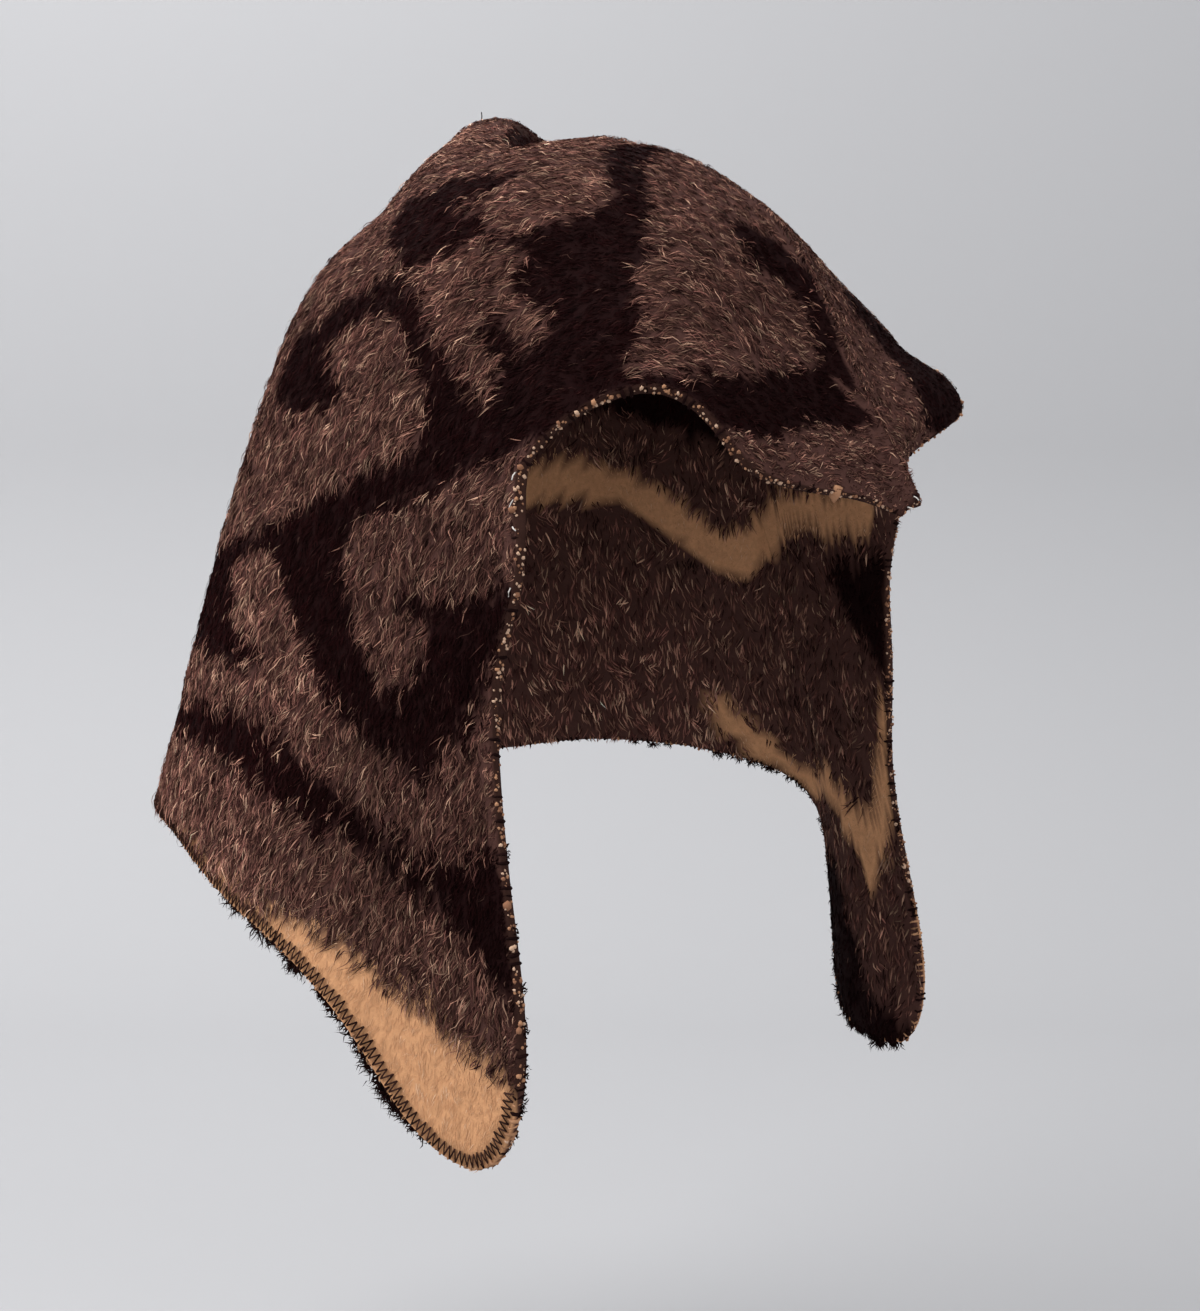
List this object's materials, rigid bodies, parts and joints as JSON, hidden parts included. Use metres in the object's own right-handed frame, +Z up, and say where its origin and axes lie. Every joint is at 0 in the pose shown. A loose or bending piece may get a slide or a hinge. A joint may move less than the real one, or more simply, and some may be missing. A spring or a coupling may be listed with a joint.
{
  "type": "sauna hat with ear flaps",
  "caption": "Blanket-cloth sauna hat with a short visor, a peaked crown and long ear flaps, cut as mirrored panels joined by a centre seam, held in its worn form.",
  "frame": {"origin": "where the inside of the crown rests on the top of the wearer's head", "axes": "the hat faces -Y, the wearer's right is -X, +Z up"},
  "size_m": [0.2635, 0.2951, 0.352],
  "materials": {
    "blanket_cloth": "brushed double-faced blanket cloth, heather brown with dark brown figures outside, peach at the lower hem and in part of the inside"
  },
  "bodies": {
    "root": {"right_panel": "blanket_cloth", "left_panel": "blanket_cloth"}
  },
  "joints": []
}
